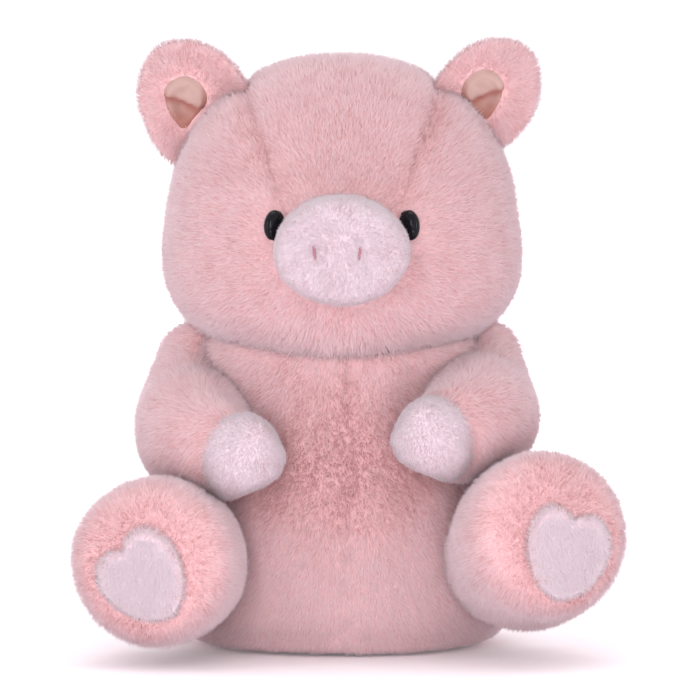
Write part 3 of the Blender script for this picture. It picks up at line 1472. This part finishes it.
def heart_outline():
    """The heart's outline as turns and reaches from its middle."""
    rows = [Vector((out * HEART["half_width"], up * HEART["half_height"])) for out, up in HEART_SHARES]
    line = []
    for start in range(0, len(rows) - 1, 3):
        first, second, third, fourth = rows[start:start + 4]
        for step in range(HEART_STEPS):
            t = step / HEART_STEPS
            start_pull = first * (1 - t) ** 3 + 3 * second * t * (1 - t) ** 2
            line.append(start_pull + 3 * third * t * t * (1 - t) + fourth * t**3)
    line.append(rows[-1])
    turns = np.array([math.atan2(place.x, place.y) for place in line])
    return turns, np.array([place.length for place in line])


def heart_stand(side, route):
    tilt = Matrix.Rotation(math.radians(-SIDES[side] * HEART_TILTS[side]), 4, "Z")
    shift = Matrix.Translation((SIDES[side] * HEART_SHIFTS[side], -HEART_DROPS[side], -HEART["sunk"]))
    return Matrix.Translation(Vector(route.at(1.0))) @ standing_on(Vector(route.along(1.0))) @ shift @ tilt


def heart_reach(turns):
    outline_turns, reaches = heart_outline()
    order = np.argsort(outline_turns)
    return np.interp(np.abs(turns), outline_turns[order], reaches[order])


def make_heart(side, route):
    """A thin crowned pad in the heart's outline."""
    bm = ball()
    places = places_of(bm.verts)
    flat = np.hypot(places[:, 0], places[:, 1])
    turns = np.arctan2(places[:, 0], places[:, 1])
    reach = heart_reach(turns) * np.sin(flat * math.pi / 2) ** HEART_POWERS["across"]
    up = HEART["half_depth"] * np.sign(places[:, 2]) * np.abs(places[:, 2]) ** HEART_POWERS["up"]
    put(bm, np.stack([reach * np.sin(turns), reach * np.cos(turns), up], axis=1))
    bmesh.ops.recalc_face_normals(bm, faces=bm.faces)
    bmesh.ops.transform(bm, matrix=heart_stand(side, route), verts=bm.verts)
    return piece_from(bm, f"{side}_heart_skin")


def heart_nearness(places, side, route):
    """How far out from the heart's middle places lie, 1 on its outline, and the way back to it."""
    stand = np.array(heart_stand(side, route))
    back = np.linalg.inv(stand)
    own = places @ back[:3, :3].T + back[:3, 3]
    turns = np.arctan2(own[:, 0], own[:, 1])
    share = np.hypot(own[:, 0], own[:, 1]) / heart_reach(turns)
    share = np.where(np.abs(own[:, 2]) < HEART_MEASURE["reach"], share, HEART_MEASURE["beyond"])
    inwards = unit(np.stack([-own[:, 0], -own[:, 1], 0 * turns], axis=1)) @ stand[:3, :3].T
    return share, inwards


def comb_heart(ground, side, route):
    """Down over the pad and outwards round its edge, with none behind it."""
    places, normals = skin_points(ground.data.vertices)
    share, inwards = heart_nearness(places, side, route)
    edge = eased(share, *HEART_EDGE_SPAN)[:, None]
    flow = DOWNWARDS * (1 - edge) - inwards * edge
    facing = eased(normals @ route.along(1.0), *HEART_FACE_SPAN)
    lay_nap(ground, flow, HEART_COAT, SHORT_PILE["length"], facing)


# Tail


def tail_route():
    """Straight out from the back and once round."""
    pivot = joint_place("tail_wag")
    rows = [tuple(pivot)]
    for step in range(TAIL["steps"] + 1):
        share = step / TAIL["steps"]
        turn = share * TAIL["turns"] * 2 * math.pi
        rows.append((
            math.sin(turn) * TAIL["curl"],
            pivot.y + TAIL["root"] + share * TAIL["pitch"],
            pivot.z + TAIL["curl"] - math.cos(turn) * TAIL["curl"],
        ))
    return Line(rows)


# Room, light and camera


def make_floor():
    """A pale floor that fades into the white room."""
    bm = bmesh.new()
    bmesh.ops.create_grid(bm, x_segments=2, y_segments=2, size=FLOOR_REACH)
    floor = piece_from(bm, "floor")
    material, tree, surface = finish_named("pale_floor")
    colour = ramp(tree, grain(tree, 40, 3), ((0.3, (0.92, 0.84, 0.89)), (0.7, (0.95, 0.88, 0.93))))
    seen = plug(tree, "ShaderNodeLightPath").outputs["Is Camera Ray"]
    away = plug(tree, "ShaderNodeVectorMath", {0: place_socket(tree)}, operation="LENGTH").outputs["Value"]
    fade = plug(tree, "ShaderNodeMapRange", {"Value": away, **FLOOR_GLOW}).outputs["Result"]
    wire(tree, surface, {
        "Base Color": colour,
        "Roughness": 0.9,
        "Emission Color": (*WHITE, 1),
        "Emission Strength": math_node(tree, "MULTIPLY", seen, fade),
    })
    dress(floor, material)


def make_room():
    """A white room that lights the toy from all round."""
    world = bpy.data.worlds.new("studio")
    world.use_nodes = True
    bpy.context.scene.world = world
    tree = world.node_tree
    path = plug(tree, "ShaderNodeLightPath").outputs
    seen = math_node(tree, "MAXIMUM", path["Is Camera Ray"], path["Is Glossy Ray"])
    seen = math_node(tree, "MAXIMUM", seen, path["Is Transmission Ray"])
    strength = between(tree, seen, ROOM_LIGHT, 1.0)
    wire(tree, tree.nodes["Background"], {"Color": (*WHITE, 1), "Strength": strength})


def add_softbox(name, place, target, size, watts):
    light = bpy.data.lights.new(name, "AREA")
    light.shape = "RECTANGLE"
    light.size, light.size_y = size
    light.energy = watts
    lamp = bpy.data.objects.new(name, light)
    lamp.location = place
    lamp.rotation_euler = (Vector(target) - Vector(place)).to_track_quat("-Z", "Y").to_euler()
    bpy.context.scene.collection.objects.link(lamp)


def make_camera():
    """Level with the toy and a little above it, through a long lens."""
    tilt = math.radians(CAMERA_TILT)
    back = Vector((0, -math.cos(tilt), math.sin(tilt)))
    up = Vector((0, math.sin(tilt), math.cos(tilt)))
    data = bpy.data.cameras.new("camera")
    data.sensor_width = CAMERA_SENSOR
    data.lens = CAMERA_SENSOR * CAMERA_DISTANCE / CAMERA_WIDTH
    camera = bpy.data.objects.new("camera", data)
    aim = Vector((CAMERA_AIM["across"], 0, 0)) + up * CAMERA_AIM["up"]
    camera.location = aim + back * CAMERA_DISTANCE
    camera.rotation_euler = (-back).to_track_quat("-Z", "Y").to_euler()
    bpy.context.scene.collection.objects.link(camera)
    bpy.context.scene.camera = camera


# The toy, part by part


def add_head(pink, pale, pink_cloth, pale_cloth):
    head = make_head()
    plump(head, head_seams)
    skin(head, pink_cloth, "head", HEAD_NODES + ("head_filling",))
    names = (
        "forehead_pile", "right_cheek_pile", "left_cheek_pile", "back_right_head_pile", "back_left_head_pile",
    )
    for step, name in enumerate(names):
        coat(
            head, name, pink, "fur", "head", SEEDS["head"] + SEED_STEP * step, comb_head,
            lambda place: head_part(place) == name,
        )
    snout = make_snout()
    skin(snout, pale_cloth, "head", ("snout_cover", "snout_filling"))
    coat(
        snout, "snout_pile", pale, "pale_fur", "head", SEEDS["snout"], comb_snout,
        lambda place: place.y < snout_seat.y + SNOUT_COAT_REACH,
    )


def add_face(side, black, thread):
    eye = make_eye(side)
    dress(eye, black)
    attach(eye, "head")
    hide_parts(f"{side}_eye")
    stitch = make_nostril(side)
    dress(stitch, thread)
    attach(stitch, "head")
    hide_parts(f"{side}_nostril_stitch")


def add_torso(pink, cloth):
    torso = make_torso()
    plump(torso, torso_held)
    set_down(torso)
    nodes = TORSO_NODES + ("torso_filling", "pellet_bag")
    skin(torso, cloth, "torso", nodes)
    names = ("belly_right_pile", "belly_left_pile", "back_right_pile", "back_left_pile")
    for step, name in enumerate(names):
        coat(
            torso, name, pink, "body_fur", "torso", SEEDS["torso"] + SEED_STEP * step, comb_torso,
            lambda place: torso_part(place) == name,
        )


def add_ear(side, pink, cloth, satin, seed):
    body = f"{side}_ear"
    ear = make_ear(side)
    skin(ear, cloth, body, (f"{side}_ear_outer",))
    coat(ear, f"{side}_ear_pile", pink, "fur", body, seed, lambda ground: comb_ear(ground, side))
    skin(make_lining(side), satin, body, (f"{side}_ear_lining",))


def add_arm(side, pink, pale, pink_cloth, pale_cloth, seed):
    """A sleeve and a paw, cut from one stuffed form at the wrist's seam."""
    body = f"{side}_arm"
    route = route_of(side, ARM_ROUTES[side])
    seam = Vector(route.at(PAW_SEAM_SHARE))
    ahead = Vector(route.along(PAW_SEAM_SHARE))

    def depth(along):
        groove = near((along - PAW_SEAM_SHARE) * route.length, WRIST_GROOVE["width"])
        coat_depth = np.where(along > PAW_SEAM_SHARE, SHORT_DEPTH, PILE_DEPTH)
        return coat_depth + WRIST_GROOVE["depth"] * groove

    whole = make_limb(f"{side}_arm_whole", route, ARM_RADIUS, ARM_SHARES, depth)
    fold_paw(whole, route, side)
    sleeve = cut_from(whole, f"{side}_arm_cover", seam, ahead, False)
    nodes = (f"{side}_arm_sleeve", f"{side}_arm_filling")
    skin(sleeve, pink_cloth, body, nodes)
    tip = cut_from(whole, f"{side}_paw_cover", seam, ahead, True)
    skin(tip, pale_cloth, body, (f"{side}_paw_tip",))
    coat(whole, f"{side}_arm_pile", pink, "body_fur", body, seed, lambda ground: comb_sleeve(ground, route))
    coat(
        whole, f"{side}_paw_pile", pale, "pale_fur", body, seed + SEED_STEP,
        lambda ground: comb_paw(ground, route, side),
        lambda place: (place - seam).dot(ahead) > PAW_COAT_REACH,
    )
    bpy.data.objects.remove(whole)


def add_leg(side, pink, padding, pink_cloth, pale_cloth, seed):
    body = f"{side}_leg"
    route = route_of(side, LEG_ROUTES[side])
    leg = make_limb(f"{side}_leg_skin", route, LEG_RADIUS, LEG_SHARES, lambda along: PILE_DEPTH + 0 * along)
    nodes = (f"{side}_leg_cover", f"{side}_sole_panel", f"{side}_leg_filling")
    skin(leg, pink_cloth, body, nodes)
    coat(leg, f"{side}_leg_pile", pink, "fur", body, seed, lambda ground: comb_leg(ground, route, side))
    heart = make_heart(side, route)
    skin(heart, pale_cloth, body, (f"{side}_heart_pad",))
    coat(
        heart, f"{side}_heart_pile", padding, "pale_fur", body, seed + SEED_STEP,
        lambda ground: comb_heart(ground, side, route),
    )


def add_tail(pink, cloth):
    route = tail_route()
    tail = piece_from(limb(route, TAIL["radius"], TAIL_SHARES, TAIL_FINENESS)[0], "tail_skin")
    skin(tail, cloth, "tail", ("tail",))

    def comb_tail(ground):
        shares = shares_along(route, places_of(ground.data.vertices))
        lay_nap(ground, route.along(shares), TAIL_COAT, TAIL_PILE_LENGTH)

    coat(tail, "tail_pile", pink, "fur", "tail", SEEDS["tail"], comb_tail)


def main():
    bpy.context.scene.view_settings.view_transform = "Standard"
    make_floor()
    make_room()
    make_camera()
    for name, setting in SOFTBOXES.items():
        add_softbox(f"{name}_softbox", *setting)

    strand = make_strand()
    pink = (PLUSH, pile_finish("pink_pile", *PILE_COLOURS["pink"]), strand)
    pale = (SHORT_PILE, pile_finish("pale_pile", *PILE_COLOURS["pale"]), strand)
    padding = (SHORT_PILE, pile_finish("heart_pile", *PILE_COLOURS["heart"]), strand)
    pink_cloth = cloth_finish("pink_backing", *PINK_CLOTH)
    pale_cloth = cloth_finish("pale_backing", *PALE_CLOTH)
    satin = satin_finish()
    thread = thread_finish()
    black = eye_finish()
    moulded = moulded_finish()

    add_head(pink, pale, pink_cloth, pale_cloth)
    for side in SIDES:
        add_face(side, black, thread)
    add_torso(pink, pink_cloth)
    for side in SIDES:
        seeds = {part: SEEDS[side] + SEED_STEP * steps for part, steps in PART_STEPS.items()}
        add_ear(side, pink, pink_cloth, satin, seeds["ear"])
        add_arm(side, pink, pale, pink_cloth, pale_cloth, seeds["arm"])
        add_leg(side, pink, padding, pink_cloth, pale_cloth, seeds["leg"])
    add_tail(pink, pink_cloth)
    bpy.data.objects.remove(strand)

    for side in SIDES:
        dress(frame["nodes"][f"{side}_eye_washer"], moulded)
    dress(frame["nodes"]["neck_thread"], thread)


main()
